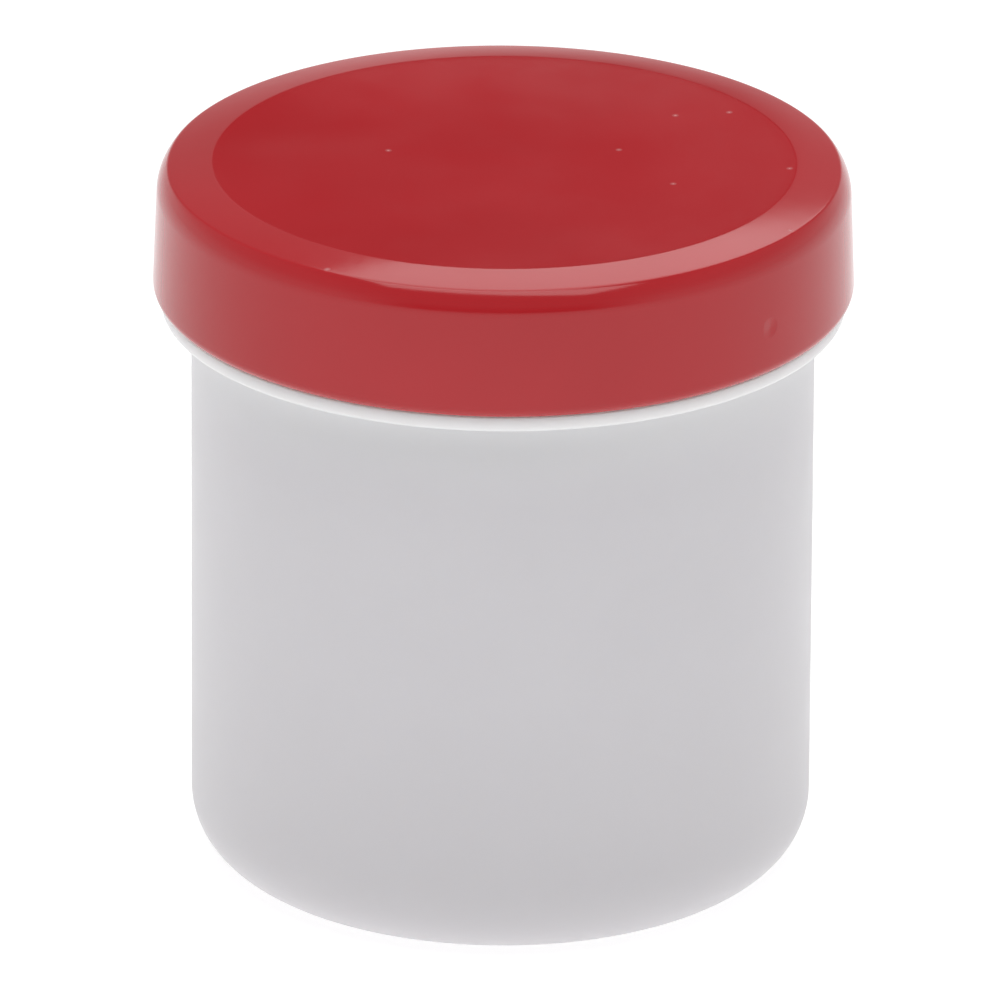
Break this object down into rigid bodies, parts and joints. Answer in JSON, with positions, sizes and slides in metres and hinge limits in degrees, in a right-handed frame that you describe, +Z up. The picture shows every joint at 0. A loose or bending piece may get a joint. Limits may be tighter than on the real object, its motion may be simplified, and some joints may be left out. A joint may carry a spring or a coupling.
{
  "type": "paint jar",
  "caption": "Straight-sided white plastic jar with a rounded base, collar and threaded neck, closed by a red dished screw lid over a foam liner.",
  "frame": {"origin": "middle of the foot, on the surface that the jar stands on", "axes": "+Z up along the jar's axis, from the foot to the lid; the outside is the same all round, and the thread starts on the side towards +X"},
  "size_m": [0.0718, 0.0718, 0.076],
  "materials": {
    "jar_plastic": "satin",
    "lid_plastic": "gloss",
    "liner_foam": "matte"
  },
  "bodies": {
    "jar": {"jar": "jar_plastic"},
    "liner": {"liner": "liner_foam"},
    "lid": {"lid": "lid_plastic"}
  },
  "joints": [
    {"name": "lid_rise", "type": "slide", "parent": "jar", "child": "liner", "axis": [0, 0, 1], "range_m": [0, 0.0252]},
    {"name": "lid_turn", "type": "hinge", "parent": "liner", "child": "lid", "pos_m": [0, 0, 0.069], "axis": [0, 0, 1], "range_deg": [0, 2160]}
  ],
  "couplings": [
    {"joint": "lid_rise", "follows": "lid_turn", "m_per_rad": 0.00066845}
  ]
}
